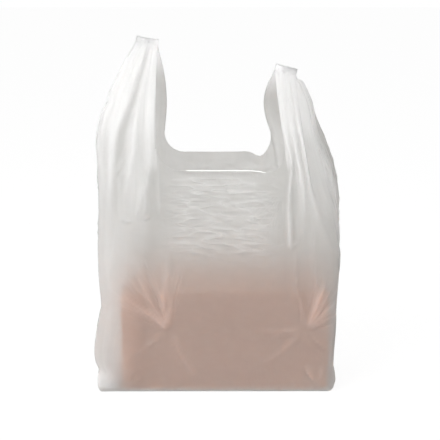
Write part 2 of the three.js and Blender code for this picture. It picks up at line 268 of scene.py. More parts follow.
def footFolds(x, y, z):  # corner crumple, slack left of the carton and the crease over the base edge
    fromMiddle = abs(x - panelMiddle)
    height, size = crumple["corners"]
    total = height * (1 - smooth(z, 16, 36)) * smooth(fromMiddle, 96, 132) * facets(x, y, 1.1 * z, size)
    height, size = crumple["foot"]
    total += height * (1 - smooth(z, 10, 30)) * smooth(fromMiddle, 60, 110) * ridges(x * 0.5, z, size)
    total += slackLeft * smooth(-x, 80, 138) * smooth(z, 6, 36) * (1 - smooth(z, 135, 215))
    above = z - footCrease["at"] - footCrease["slope"] * x
    return total + footCrease["height"] * bump(above, footCrease["halfWidth"])


def panelFolds(x, y, z, front):  # wrinkles of a large panel, always outward, and how much they whiten it, partly as painted highlight
    x, y, z = x / mm, y / mm, z / mm
    total, crests = creaseFolds(x, z, front)
    wrinkled = underMouth(x if front else x + backBandShift, z)
    slant = z + 0.10 * x + 5 * noise.noise(Vector((x / 45, 0, z / 45)))
    wrinkleHeight, wrinkleSize = crumple["wrinkles"]
    bandHeight, bandSize = crumple["band"]
    wrinkle = ridges(x * 0.26, slant, wrinkleSize)
    total += wrinkled * (wrinkleHeight * wrinkle + bandHeight * facets(x * 0.5, y, slant * 1.5, bandSize))
    crests += creaseShape["wrinkleWhite"] * wrinkled * wrinkle
    height, size = crumple["upper"]
    total += height * smooth(z, 150, 200) * facets(1.2 * x + 40, y, 0.6 * z, size)
    height, size = crumple["overall"]
    total += height * facets(0.7 * x, y + 90, 1.2 * z, size)
    return (total + footFolds(x, y, z)) * mm, clamp(crests, 0, 1)


mouthArc = (9, 18, 27, 36, 46, 56, 67, 78, 90)  # degrees at which columns cross the mouth's round corner
closeToNone = 1e-9


def gussetColumns(side):
    steps = 2 * round(film["gussetDepth"] / film["step"] * film["gussetColumnShare"])
    return [{"side": side, "share": i / steps, "top": strapBase, "inset": -1.0, "onRight": side == 1,
             "place": i / steps * 2 * film["gussetDepth"]} for i in range(steps)]


def panelPlaces():  # where the columns stand across a panel, closer together round the mouth's corners
    width, strap, radius = film["panelWidth"], film["strapWidth"], film["mouthRadius"]
    steps = round(strap / film["step"])
    places = [strap * i / steps for i in range(steps + 1)]
    places += [strap + radius * (1 - math.cos(math.radians(degrees))) for degrees in mouthArc]
    openHalf = width / 2 - strap - radius
    steps = round(openHalf / film["step"])
    places += [strap + radius + openHalf * i / steps for i in range(1, steps + 1)]
    return places + [width - place for place in reversed(places[1:-1])]


def panelColumns(side):
    width, radius = film["panelWidth"], film["mouthRadius"]
    columns = []
    for place in panelPlaces():
        inset = min(place, width - place) - film["strapWidth"]  # how far inside the mouth the column stands
        sunk = radius - max(inset, 0) if inset < radius else 0
        rise = radius if inset <= closeToNone else radius - math.sqrt(max(radius ** 2 - sunk ** 2, 0))
        columns.append({"side": side, "share": place / width, "top": film["hemHeight"] + rise,
                        "inset": inset if inset > closeToNone else -1.0,
                        "onRight": (place > width / 2) == (side == 0), "place": place})
    return columns


def makeColumns():  # columns of the film tube, in the order front, right gusset, back, left gusset
    return panelColumns(0) + gussetColumns(1) + panelColumns(2) + gussetColumns(3)


def isGusset(column):
    return column["side"] % 2 == 1


def tuckShare(column):  # 0 at a side fold, 1 at the valley
    return 1 - abs(2 * column["share"] - 1) if isGusset(column) else 0


def halfSign(column):  # -1 in the front half of the tube, 1 in the back half
    if not isGusset(column):
        return column["side"] - 1
    offset = column["share"] - 0.5
    sign = 0 if abs(offset) < closeToNone else math.copysign(1, offset)
    return sign * (1 if column["side"] == 1 else -1)


def acrossStrap(column):  # 0 at the mouth edge, 1 at the side fold
    return 1 - min(column["place"], film["panelWidth"] - column["place"]) / film["strapWidth"]


# Pleats down each strap: place at the mouth, how far it moves by the top, half width, height
# The first three are shares of the strap's width and the height is in millimetres
strapPleats = {
    "left": [(0.61, -0.28, 0.075, -5.0), (0.76, -0.28, 0.06, 3.0), (0.40, -0.10, 0.07, 1.6),
             (0.22, -0.04, 0.035, -0.9), (0.12, 0, 0.05, 0.8), (0.88, -0.06, 0.04, -1.2),
             (0.95, 0, 0.03, 0.8)],
    "right": [(0.28, 0.02, 0.06, -1.3), (0.14, 0, 0.05, 1.6), (0.44, 0.02, 0.07, 2.0),
              (0.62, 0.04, 0.05, -1.9), (0.78, 0.04, 0.06, 2.4), (0.91, 0.02, 0.04, -1.6)],
}
pleatFade = 150 * mm  # way down the panel over which a pleat goes back to where it starts


def strapPleat(column, rise):  # rise is 0 at the foot of the strap, 1 at its weld, and below 0 on the panel
    if isGusset(column) or column["inset"] > 0:
        return 0
    across = acrossStrap(column)
    if column["side"] == 2:
        across = 1 - across * 0.92
    pleats = strapPleats["right" if column["onRight"] else "left"]
    moved = smooth(rise, -0.6, 1) * 1.3 - 0.3
    total = 0
    for place, shift, halfWidth, height in pleats:
        total += height * bump(across - place - shift * moved, halfWidth)
    return mm * total


def panelPleat(column, z):  # the pleat's lower end, fading out down the panel
    return strapPleat(column, (z - strapBase) / pleatFade) * smooth(z, weld["pleatsEnd"], strapBase)


# The lip that curls over along the front hem, and the slack waves of both hems
hem = {
    "from": 240 * mm,                        # height at which the waves begin
    "curlIn": (-56 * mm, -38 * mm),          # the curl fades in and out between these
    "curlOut": (52 * mm, 66 * mm),
    "curlDepth": 8 * mm,
    "frontDip": (5 * mm, 72 * mm, 15 * mm),  # each is depth, place and half width
    "backDip": (6.5 * mm, 59 * mm, 10 * mm),
    "backOut": (4 * mm, 46 * mm, 14 * mm),
    "backIn": (3 * mm, 66 * mm, 12 * mm),
}


def hemWave(name, x):
    height, place, halfWidth = hem[name]
    return height * bump(x - place, halfWidth)


def gussetPoint(column, point, outward, middle):
    crease, z = tuckShare(column), point.z
    if column["onRight"]:
        point += outward * (rightBelly(z) * middle)
    else:
        point -= outward * film["valleyDepth"] * crease * smooth(z, carton["height"], strapBase)
    slack = facets(point.x / mm, point.y / mm, 0.7 * z / mm, 20)
    streak = ridges(point.y / mm, 0.2 * z / mm + (50 if column["onRight"] else 0), 14)
    relief = 1.3 * slack + 2.2 * streak * smooth(z, 100 * mm, 200 * mm)
    point += outward * mm * relief * smooth(crease, 0.05, 0.4)
    # painted highlight: the crests of the gusset's streaks are whitened
    return point, 0.3 * streak


def hemPoint(point, top, isFront):  # the punched edge and the film just below it
    below = smooth(point.z, hem["from"], top)
    if isFront:
        curled = smooth(point.x, *hem["curlIn"]) * (1 - smooth(point.x, *hem["curlOut"]))
        point.y -= film["lipCurl"] * curled * smooth(point.z, top - hem["curlDepth"], top) ** 2
        point.z -= hemWave("frontDip", point.x) * below
    else:  # the back hem hangs in a slack wave
        point.z -= hemWave("backDip", point.x) * below
        point.y += (hemWave("backOut", point.x) - hemWave("backIn", point.x)) * below
    return point


def bodyPoint(column, z):  # place on the standing walls, and how much its creases whiten it, partly as painted highlight
    spot, normal = section(z, column["side"], column["share"])
    point = Vector((spot.x, spot.y, z))
    outward = Vector((normal.x, normal.y, 0))
    middle = 1 - (2 * column["share"] - 1) ** 2
    if isGusset(column):
        return gussetPoint(column, point, outward, middle)
    isFront = column["side"] == 0
    fromLeft = column["share"] if isFront else 1 - column["share"]
    start, rise = lean["front" if isFront else "back"]
    point.x += min(1, middle / 0.7) * mouthLean(z) * (start + rise * fromLeft)
    if isFront:  # only the strap takes up the tuck of the right front fold
        mouthShare = 1 - film["strapWidth"] / film["panelWidth"]
        kept = min(column["share"], mouthShare * (1 - column["share"]) / (1 - mouthShare))
        point.x += frontRightTuck(z) * kept
    mirror = 1 if isFront else -1
    folds, crests = panelFolds(mirror * point.x, point.y, z, isFront)
    folds *= smooth(middle, 0, 0.2)
    point += outward * (folds + panelPleat(column, z))
    if column["inset"] > 0:
        point = hemPoint(point, column["top"], isFront)
    return point, crests


def floorPoint(column, level):  # 0 at the base weld, 1 at a tuck's crease, 2 to 4 over the base edge
    spot, normal = section(film["edgeRadius"], column["side"], column["share"])
    tuck = tuckShare(column)
    angle = math.radians(45 * max(level - 2, 0))
    inset = film["edgeRadius"] * (1 - math.sin(angle))
    plies = 0.5 if column["share"] == 0 else (1 + min(level, 2) / 2 if tuck > 0 else 0)
    height = film["wall"] + plies * film["plyPitch"] + film["edgeRadius"] * (1 - math.cos(angle))
    edge = Vector((spot.x - normal.x * inset, spot.y - normal.y * inset, height))
    if level >= 2:
        return edge
    half = film["seamLength"] / 2
    sign = math.copysign(1, spot.x)
    seamX = sign * (half - tuck * film["gussetDepth"])
    if not isGusset(column):
        seamX = (2 * column["share"] - 1) * half * -halfSign(column)
    seam = Vector((seamX, halfSign(column) * film["wall"], height))
    if level == 0:
        return seam
    if tuck == 0:
        return seam.lerp(edge, 0.9 if column["share"] == 0 else 0.5)
    corner, cornerNormal = section(film["edgeRadius"], column["side"], 0 if column["share"] < 0.5 else 1)
    apexX = sign * (half - film["gussetDepth"] - film["seamWidth"])
    apex = Vector((apexX, halfSign(column) * film["seamWidth"], height))
    fold = Vector((corner.x - cornerNormal.x * inset, corner.y - cornerNormal.y * inset, height))
    return fold.lerp(apex, tuck)


def weldPoint(column, depth):  # place in the four plies pressed together across a handle top
    handle = weld["right" if column["onRight"] else "left"]
    share = 1 - tuckShare(column) * weld["gussetShare"] if isGusset(column) else acrossStrap(column)
    ply = 1 if column["share"] == 0 else (0.5 if isGusset(column) else 1.5)
    pleat = handle["pleatSize"] * math.sin(2 * math.pi * (handle["pleats"] * share + handle["shift"]))
    ripple = weld["ripple"] * math.sin(share * 23 + (1 if column["onRight"] else 0))
    local = Vector(((1 if column["onRight"] else -1) * weld["width"] * (share - 0.5),
                    pleat + halfSign(column) * ply * weld["pitch"], -depth + ripple))
    turned = Matrix.Rotation(math.radians(handle["tilt"]), 3, "Y") @ local
    return turned + Vector(handle["centre"])


# How far the inner edge of each strap bows sideways on its way up
strapBow = {"left": {"front": -1 * mm, "back": 5 * mm}, "right": {"front": -1 * mm, "back": -11 * mm}}


# Slack and crumple of the handles; rise is 0 at the strap's foot and 1 at the weld
handleShape = {
    "flatter": {"left": 0.35, "right": 0.75},  # how much the pleats lose by the top
    "flatterOver": (0.1, 0.7),  # rise over which the right ones lose it
    "beyondWeld": 3 * mm,       # how far the right gusset's valley stands outside its weld
    "slack": 4.5 * mm,          # of the right gusset, about the next rise
    "slackAt": (0.55, 0.25),    # rise and half width
    "tuckedFrom": 0.86,         # where the gusset goes in under the weld
    "rough": 1.4 * mm,
    "knockAt": (0.42, 0.05),    # rise and half width of the dent on the left handle's outer side
    "knock": (3 * mm, -2.5 * mm),
}


def gussetSide(column, rise, base, top):  # the right gusset stays out beyond the straps
    sideways = rise ** weld["right"]["lean"]
    out = tuckShare(column) ** 0.5
    edge = weld["right"]["centre"][0] + (weld["width"] / 2 + handleShape["beyondWeld"])
    place, halfWidth = handleShape["slackAt"]
    slack = handleShape["slack"] * out * bump(rise - place, halfWidth)
    return mixed(base.x, mixed(top.x, edge, out), sideways) + slack


def handlePoint(column, rise):
    base, _ = bodyPoint(column, strapBase)
    top = weldPoint(column, weld["height"])
    handle = "right" if column["onRight"] else "left"
    swing = math.sin(math.pi * rise)
    x = mixed(base.x, top.x, rise ** weld[handle]["lean"])
    if isGusset(column):  # it is tucked in just under the weld
        outer = gussetSide(column, rise, base, top) if column["onRight"] else x
        x = mixed(outer, top.x, smooth(rise, handleShape["tuckedFrom"], 1))
        outside, across = 1, 90 * column["share"]
    else:
        outside = acrossStrap(column)
        across = outside * 60
        x += strapBow[handle]["front" if halfSign(column) < 0 else "back"] * (1 - outside) * swing
    flatter = handleShape["flatter"][handle]
    flatter *= smooth(rise, *handleShape["flatterOver"]) if column["onRight"] else rise
    pleats = halfSign(column) * strapPleat(column, rise) * (1 - flatter) * (1 - smooth(rise, 0.9, 1))
    flat = base.y - halfSign(column) * strapPleat(column, 0)
    point = Vector((x, mixed(flat, top.y, rise ** 1.5) + pleats, mixed(base.z, top.z, rise)))
    rough = facets(point.x / mm * 1.1, point.y / mm, 0.45 * point.z / mm, 18)
    streak = ridges(across, rise * 14, 9)
    point.y += halfSign(column) * handleShape["rough"] * (rough + streak) * swing
    if handle == "left":
        place, halfWidth = handleShape["knockAt"]
        knock = bump(rise - place, halfWidth) * smooth(outside, 0.7, 1)
        point.x += handleShape["knock"][0] * knock
        point.y += handleShape["knock"][1] * knock
    return point


def rowShares():  # rows lie closer together in the finely wrinkled band
    low, high = film["closeRows"]
    close, wide = film["rowSteps"]
    place, steps = 0, []
    while place < strapBase / mm:
        steps.append(place)
        place += close if low < place < high else wide
    steps.append(strapBase / mm)
    return [(step - steps[0]) / (steps[-1] - steps[0]) for step in steps[1:]]


def underMouth(x, z):  # 1 in the finely wrinkled band of the front panel, 0 outside it, in millimetres
    return math.exp(-((x - 8) / 66) ** 4) * smooth(z, 168, 205) * (1 - smooth(z, 280, 294))


def frontShare(column):  # 1 on the front, 0 on the back, fading over the gussets
    if not isGusset(column):
        return 1 - column["side"] / 2
    share = column["share"] if column["side"] == 1 else 1 - column["share"]
    return 1 - smooth(share, 0.2, 0.8)


# How much each cause whitens the film, 0 to 1; doubled film and crumple are whiter, and most causes are
# also painted light and painted highlight
whiteningAndPaintedLight = {
    "frontCrests": 0.66, "backCrests": 0.15, "pleats": 0.12, "baseEdge": 0.35, "foot": 0.3, "leftSide": 0.5,
    "panel": 0.12, "panelMiddle": 0.22, "strapFoot": 0.12, "strapTop": 0.7,
}


def gatheredAt(column, point):  # how much doubled film or crumple whitens this spot of the body, with painted light added
    strap = 0
    if column["inset"] <= 0:
        # doubled film, and painted light that grows up the strap and falls mostly on the front
        spread = smooth(acrossStrap(column), 0, 0.3) if column["side"] == 0 else 1
        spread = mixed(spread, 1, smooth(point.z, 285 * mm, 305 * mm))
        climb = smooth(point.z, 150 * mm, strapBase)
        strap = mixed(whiteningAndPaintedLight["strapFoot"], whiteningAndPaintedLight["strapTop"], climb) * spread
        # painted highlight on pleat crests and painted shade in pleat valleys
        strap += whiteningAndPaintedLight["pleats"] * panelPleat(column, point.z) / mm
        strap = clamp(strap, 0, 1) * frontShare(column)
    # painted light: the front panel is lighter than the back, most in its finely wrinkled middle band,
    # partly also crumple
    middle = math.exp(-((point.x - 8 * mm) / (70 * mm)) ** 4) * smooth(point.z, 165 * mm, 215 * mm)
    crumpledAndLitFront = whiteningAndPaintedLight["panel"] + whiteningAndPaintedLight["panelMiddle"] * middle if column["side"] == 0 else 0
    # painted light: the lower left corner, the foot and the left side are lighter, against the shade that
    # falls there
    corner = (1 - smooth(point.z, 15 * mm, 70 * mm)) * smooth(-point.x, 114 * mm, 138 * mm)
    foot = whiteningAndPaintedLight["foot"] * (1 - smooth(point.z, 4 * mm, 16 * mm))
    leftSide = whiteningAndPaintedLight["leftSide"] * smooth(-point.x, 72 * mm, 138 * mm)
    return max(strap, crumpledAndLitFront, corner, foot, leftSide)


def tubeSpot(column, height):  # the same spot on the round tube that the film was blown as
    width, gusset = film["panelWidth"], 2 * film["gussetDepth"]
    sideStart = [0, width, width + gusset, 2 * width + gusset][column["side"]]
    turn = 2 * math.pi * (sideStart + column["place"]) / film["tubeRound"]
    radius = film["tubeRound"] / (2 * math.pi)
    return radius * math.cos(turn), radius * math.sin(turn), height


# The right front corner of the base stands a little off the surface
cornerLift = {"height": 3.5 * mm, "across": (146 * mm, 157 * mm), "back": (-40 * mm, 0), "up": (0, 45 * mm)}


def liftedCorner(point):
    past = smooth(point.x, *cornerLift["across"]) * (1 - smooth(point.y, *cornerLift["back"]))
    lift = cornerLift["height"] * past * (1 - smooth(point.z, *cornerLift["up"]))
    return Vector((point.x, point.y, point.z + lift))


floorLevels = (0, 1, 2, 2.5, 3, 3.5, 4)  # the rows of a column under and round the base edge


def handleStack(column, white):  # rows from the strap's foot to the weld's end, with how much they are whitened: doubled film, and painted light that grows towards the top and is stronger on the front
    front = frontShare(column)
    points, whites = [], []
    for row in range(1, film["handleRows"] + 1):
        rise = row / film["handleRows"]
        points.append(handlePoint(column, rise))
        climb = mixed(smooth(rise, 0.55, 1), smooth(rise, 0, 0.5), front)
        # painted highlight on pleat crests and painted shade in pleat valleys
        mark = whiteningAndPaintedLight["pleats"] * strapPleat(column, rise) / mm * climb * front
        mark *= 1 - smooth(rise, 0.85, 1)
        whites.append(clamp(mixed(white, 1, climb) + mark, 0, 1))
    for share in weld["rows"]:
        points.append(weldPoint(column, weld["height"] * share))
        whites.append(1.0)
    return points, whites


def columnStack(column, shares):  # all rows of one column, with how much they are whitened, which is partly painted light
    points = [floorPoint(column, level) for level in floorLevels]
    # painted light on the rows round the base edge, against the shade there
    whites = [whiteningAndPaintedLight["baseEdge"] if level >= 2 else 0.0 for level in floorLevels]
    start = points[-1].z
    # painted highlight on crests, much stronger on the front half than on the back
    crestWhite = whiteningAndPaintedLight["frontCrests" if halfSign(column) < 0 else "backCrests"]
    for share in shares:
        point, crests = bodyPoint(column, mixed(start, column["top"], share))
        points.append(point)
        whites.append(max(gatheredAt(column, point), crestWhite * crests))
    if column["inset"] <= 0:
        more, moreWhites = handleStack(column, whites[-1])
        points += more
        whites += moreWhites
    return [liftedCorner(point) for point in points], whites


def filmSheet():
    points, faces, lipFaces, stacks = [], [], [], []
    marks = {"gathered": [], "wrinkled": [], "tubePlace": []}
    shares = rowShares()
    columns = makeColumns()
    for column in columns:
        stack, white = columnStack(column, shares)
        stacks.append(list(range(len(points), len(points) + len(stack))))
        points.extend(stack)
        marks["gathered"].extend(white)
        for row, point in enumerate(stack):
            onStrap = max(point.z - strapBase, 0)
            climbed = point.z + onStrap * (film["strapClimb"] - 1)
            marks["tubePlace"].append(tubeSpot(column, climbed))
            onFront = column["side"] == 0 and row >= len(floorLevels)
            marks["wrinkled"].append(underMouth(point.x / mm, point.z / mm) if onFront else 0.0)
    for i, stack in enumerate(stacks):
        following = stacks[(i + 1) % len(stacks)]
        for row in range(1, min(len(stack), len(following))):
            faces.append((stack[row - 1], following[row - 1], following[row], stack[row]))
        onLip = film["lipFrom"] < points[stack[-1]].x < film["lipTo"]
        if onLip and columns[i]["side"] == 0 and columns[i]["inset"] > 0:
            lipFaces.append(len(faces) - 1)
    place = Vector((middleX, middleY, 0))
    return [p + place for p in points], faces, lipFaces, marks


print("film: building the sheet")
filmPoints, filmFaces, curledFaces, filmMarks = filmSheet()
filmMesh = bpy.data.meshes.new("carrierFilm")
filmMesh.from_pydata([tuple(p) for p in filmPoints], [], filmFaces)
filmMesh.update()
for markName in ("gathered", "wrinkled"):  # 0 to 1: whitened by doubled film, crumple and painted light, and finely wrinkled
    filmMesh.attributes.new(markName, "FLOAT", "POINT").data.foreach_set("value", filmMarks[markName])
tubePlace = filmMesh.attributes.new("tubePlace", "FLOAT_VECTOR", "POINT")
tubePlace.data.foreach_set("vector", [value for spot in filmMarks["tubePlace"] for value in spot])
filmPiece = bpy.data.objects.new("carrierFilm", filmMesh)
bpy.context.scene.collection.objects.link(filmPiece)
for face in filmMesh.polygons:
    face.use_smooth = True
shell = filmPiece.modifiers.new("filmWall", "SOLIDIFY")
shell.thickness = film["wall"]
shell.offset = 0
print("film:", len(filmMesh.vertices), "points,", len(filmMesh.polygons), "faces")


def giveInputs(tree, node, inputs):  # an input is given a number, a colour or another node's output
    for name, value in inputs.items():
        if isinstance(value, bpy.types.NodeSocket):
            tree.links.new(value, node.inputs[name])
        else:
            node.inputs[name].default_value = value


def addNode(tree, kind, inputs, **options):
    node = tree.nodes.new(kind)
    for name, value in options.items():
        setattr(node, name, value)
    giveInputs(tree, node, inputs)
    return node


def maths(tree, operation, *values, **options):
    node = addNode(tree, "ShaderNodeMath", dict(enumerate(values)), operation=operation, **options)
    return node.outputs[0]


def vectorMaths(tree, operation, *values):
    node = addNode(tree, "ShaderNodeVectorMath", dict(enumerate(values)), operation=operation)
    return node.outputs["Value" if operation in ("LENGTH", "DOT_PRODUCT") else "Vector"]


def colourMix(tree, factor, a, b):
    node = addNode(tree, "ShaderNodeMix", {"Factor": factor, "A": a, "B": b}, data_type="RGBA")
    return node.outputs["Result"]


def newMaterial(name):
    material = bpy.data.materials.new(name)
    material.use_nodes = True
    return material, material.node_tree


def newGroup(name, vectors, numbers, outputs):  # a node group with its inputs and its outputs by kind
    group = bpy.data.node_groups.new(name, "ShaderNodeTree")
    for socket in vectors:
        group.interface.new_socket(socket, in_out="INPUT", socket_type="NodeSocketVector")
    for socket, value in numbers.items():
        made = group.interface.new_socket(socket, in_out="INPUT", socket_type="NodeSocketFloat")
        made.default_value = value
    for socket, kind in outputs.items():
        group.interface.new_socket(socket, in_out="OUTPUT", socket_type="NodeSocket" + kind)
    return group, group.nodes.new("NodeGroupInput").outputs, group.nodes.new("NodeGroupOutput")


# Noise that bends the crinkle's cells, and how far in metres
cellDrift = {"scale": 22, "detail": 3, "by": 0.02}


# Crinkle of thin stiff film: flat cells with sharp edges, over softer waves
def crinkleGroup():
    numbers = {"Cell Size": 90.0, "Stretch": 1.0, "Softness": 0.5}
    group, given, out = newGroup("filmCrinkle", ["Vector"], numbers, {"Height": "Float", "Cells": "Float"})
    squeeze = addNode(group, "ShaderNodeCombineXYZ", {"X": 1, "Y": 1, "Z": given["Stretch"]})
    scaled = vectorMaths(group, "MULTIPLY", given["Vector"], squeeze.outputs[0])
    drift = addNode(group, "ShaderNodeTexNoise", {
        "Vector": scaled, "Scale": cellDrift["scale"], "Detail": cellDrift["detail"]})
    shove = addNode(group, "ShaderNodeVectorMath", {0: drift.outputs["Color"], "Scale": cellDrift["by"]},
                    operation="SCALE")
    bent = vectorMaths(group, "ADD", scaled, shove.outputs["Vector"])
    cells = addNode(group, "ShaderNodeTexVoronoi", {"Vector": bent, "Scale": given["Cell Size"]},
                    feature="F1")
    blend = addNode(group, "ShaderNodeMix", {
        "Factor": given["Softness"], "A": cells.outputs["Distance"], "B": drift.outputs["Fac"]})
    giveInputs(group, out, {"Height": blend.outputs[0], "Cells": cells.outputs["Distance"]})
    return group


# Crests of a noise field as fine sharp lines, 0 to 1
def fineCreaseGroup():
    numbers = {"Scale": 1.0, "Sharpness": 8.0}
    group, given, out = newGroup("fineCrease", ["Vector"], numbers, {"Crest": "Float"})
    field = addNode(group, "ShaderNodeTexNoise", {
        "Vector": given["Vector"], "Scale": given["Scale"], "Detail": 1.2})
    signed = maths(group, "MULTIPLY_ADD", field.outputs["Fac"], 2, -1)
    crest = maths(group, "MULTIPLY_ADD", maths(group, "ABSOLUTE", signed), -1, 1)
    giveInputs(group, out, {"Crest": maths(group, "POWER", crest, given["Sharpness"], use_clamp=True)})
    return group


# How the creases round a knot waver outward, per metre, and where they fade
# The first fade is by direction, the other two are by share of the reach
knotCreases = {"waver": 14, "ahead": (0.5, 0.97), "start": (0.02, 0.3), "end": (1, 0.45)}


# Directions round a knot on the front, to make creases run out from it
def roundKnotGroup():
    group, given, out = newGroup("roundKnot", ["Vector", "Knot", "Heading"], {"Rays": 8.0, "Reach": 0.1},
                                 {"Around": "Vector", "Mask": "Float"})
    offset = vectorMaths(group, "SUBTRACT", given["Vector"], given["Knot"])
    flat = vectorMaths(group, "MULTIPLY", offset, (1, 0, 1))
    parts = addNode(group, "ShaderNodeSeparateXYZ", {0: flat}).outputs
    angle = maths(group, "ARCTAN2", parts["Z"], parts["X"])
    radius = vectorMaths(group, "LENGTH", flat)
    around = addNode(group, "ShaderNodeCombineXYZ", {
        "X": maths(group, "MULTIPLY", angle, given["Rays"]),
        "Y": maths(group, "MULTIPLY", radius, knotCreases["waver"]),
        "Z": vectorMaths(group, "LENGTH", given["Knot"])})
    ahead = vectorMaths(group, "DOT_PRODUCT", vectorMaths(group, "NORMALIZE", flat), given["Heading"])
    share = maths(group, "DIVIDE", radius, given["Reach"])
    here = addNode(group, "ShaderNodeSeparateXYZ", {0: given["Vector"]}).outputs
    mask = maths(group, "LESS_THAN", here["Y"], 0)
    for name, value in (("ahead", ahead), ("start", share), ("end", share)):
        low, high = knotCreases[name]
        fade = addNode(group, "ShaderNodeMapRange", {"Value": value, "From Min": low, "From Max": high},
                       interpolation_type="SMOOTHSTEP")
        mask = maths(group, "MULTIPLY", mask, fade.outputs[0])
    giveInputs(group, out, {"Around": around.outputs[0], "Mask": mask})
    return group


filmLook = {
    "colour": (0.69, 0.685, 0.668, 1),     # the single film
    "shade": (0.65, 0.645, 0.627, 1),
    "gathered": (0.985, 0.985, 0.984, 1),   # where plies lie together, and where light and highlights are painted
    "transmission": 0.86,
    "ior": 1.4,
    "roughness": (0.58, 0.7),
    "cloud": {"scale": 30, "detail": 5},    # where it's rougher and smoother
    # painted highlight: fine crease lines are whitened in the colour
    "creaseWhiteAndHighlight": 0.36,
    "creaseDepth": 0.9 * mm,
    "crinkleDepth": 0.6 * mm,
    "crinkleStretch": 1.25,
    "broad": {"cell": 70, "softness": 0.45, "strength": 0.35},
    "fine": {"cell": 240, "softness": 0.3, "strength": 0.2},
}
# Painted highlight along the curled front lip: whiter film that lets less light through
lipHighlightLook = {
    **filmLook,
    "colour": (0.86, 0.86, 0.85, 1),
    "shade": (0.82, 0.82, 0.81, 1),
    "gathered": (0.86, 0.86, 0.855, 1),
    "transmission": 0.2,
}

# Where fine creases run: knots on the front, then the wrinkled band and the lines along the blown tube
fineCreases = {
    "knots": [{"at": (-60, 84), "heading": 118, "rays": 6, "reach": 0.125, "strength": 0.6},
              {"at": (116, 84), "heading": 48, "rays": 6, "reach": 0.085, "strength": 0.65},
              {"at": (86, 268), "heading": 232, "rays": 7, "reach": 0.08, "strength": 0.6}],
    "knotSharpness": 7,
    "band": {"stretch": (0.22, 1, 1.0), "scale": 105, "sharpness": 8, "strength": 1.0},
    "tube": {"stretch": (1, 1, 0.06), "scale": 150, "sharpness": 10, "strength": 0.32},
}


def filmMaterial(name, look, crinkle, fineCrease, roundKnot):
    material, tree = newMaterial(name)
    spot = addNode(tree, "ShaderNodeTexCoord", {}).outputs["Object"]
    gathered = addNode(tree, "ShaderNodeAttribute", {}, attribute_name="gathered").outputs["Fac"]
    wrinkled = addNode(tree, "ShaderNodeAttribute", {}, attribute_name="wrinkled").outputs["Fac"]
    blown = addNode(tree, "ShaderNodeAttribute", {}, attribute_name="tubePlace").outputs["Vector"]

    def creaseLines(vector, scale, sharpness, mask, strength):
        lines = addNode(tree, "ShaderNodeGroup", {"Vector": vector, "Scale": scale, "Sharpness": sharpness},
                        node_tree=fineCrease)
        return maths(tree, "MULTIPLY", maths(tree, "MULTIPLY", lines.outputs["Crest"], mask), strength)

    crests = []
    for knot in fineCreases["knots"]:
        heading = math.radians(knot["heading"])
        turned = addNode(tree, "ShaderNodeGroup", {
            "Vector": spot,
            "Knot": (middleX + knot["at"][0] * mm, 0, knot["at"][1] * mm),
            "Heading": (math.cos(heading), 0, math.sin(heading)),
            "Rays": knot["rays"],
            "Reach": knot["reach"],
        }, node_tree=roundKnot).outputs
        sharpness = fineCreases["knotSharpness"]
        crests.append(creaseLines(turned["Around"], 1, sharpness, turned["Mask"], knot["strength"]))
    for kind, vector, mask in (("band", spot, wrinkled), ("tube", blown, gathered)):
        lines = fineCreases[kind]
        squeezed = addNode(tree, "ShaderNodeMapping", {"Vector": vector, "Scale": lines["stretch"]})
        crests.append(creaseLines(squeezed.outputs[0], lines["scale"], lines["sharpness"], mask,
                                  lines["strength"]))
    allCrests = crests[0]
    for crest in crests[1:]:
        allCrests = maths(tree, "MAXIMUM", allCrests, crest)

    relief = addNode(tree, "ShaderNodeBump", {
        "Strength": 1.0, "Distance": look["creaseDepth"], "Height": allCrests})
    cells = []
    for size in ("broad", "fine"):
        cell = addNode(tree, "ShaderNodeGroup", {
            "Vector": spot, "Cell Size": look[size]["cell"], "Stretch": look["crinkleStretch"],
            "Softness": look[size]["softness"]}, node_tree=crinkle)
        relief = addNode(tree, "ShaderNodeBump", {
            "Strength": look[size]["strength"], "Distance": look["crinkleDepth"],
            "Height": cell.outputs["Height"], "Normal": relief.outputs["Normal"]})
        cells.append(cell.outputs["Cells"])
    cloud = addNode(tree, "ShaderNodeTexNoise", {
        "Vector": spot, "Scale": look["cloud"]["scale"], "Detail": look["cloud"]["detail"]})
    roughness = addNode(tree, "ShaderNodeMapRange", {
        "Value": cloud.outputs["Fac"], "To Min": look["roughness"][0], "To Max": look["roughness"][1]})
    tint = colourMix(tree, cells[0], look["colour"], look["shade"])
    # Doubled film is whiter, and the same mix paints light on the film and highlights on its crests
    white = maths(tree, "MULTIPLY_ADD", allCrests, look["creaseWhiteAndHighlight"], gathered, use_clamp=True)
    giveInputs(tree, tree.nodes["Principled BSDF"], {
        "Base Color": colourMix(tree, white, tint, look["gathered"]),
        "Roughness": roughness.outputs[0],
        "Transmission Weight": look["transmission"],
        "IOR": look["ior"],
        "Normal": relief.outputs["Normal"],
    })
    return material


cartonLook = {
    "board": (0.60, 0.245, 0.11, 1),
    "darker": (0.52, 0.20, 0.085, 1),
    "shadedTop": (0.47, 0.178, 0.074, 1),  # painted shade: board that faces up is darker
    "shadedTopFacing": (0.4, 0.95),        # share of the normal that points up, where the painted shade comes in
    "fibre": {"scale": 320, "detail": 6, "stretch": (0.35, 1, 1.6), "strength": 0.25, "depth": 0.2 * mm},
    "ribs": {"perMetre": 165, "waver": 0.4, "strength": 0.12, "depth": 0.4 * mm},  # of the corrugation
    "roughness": (0.75, 0.92),
}


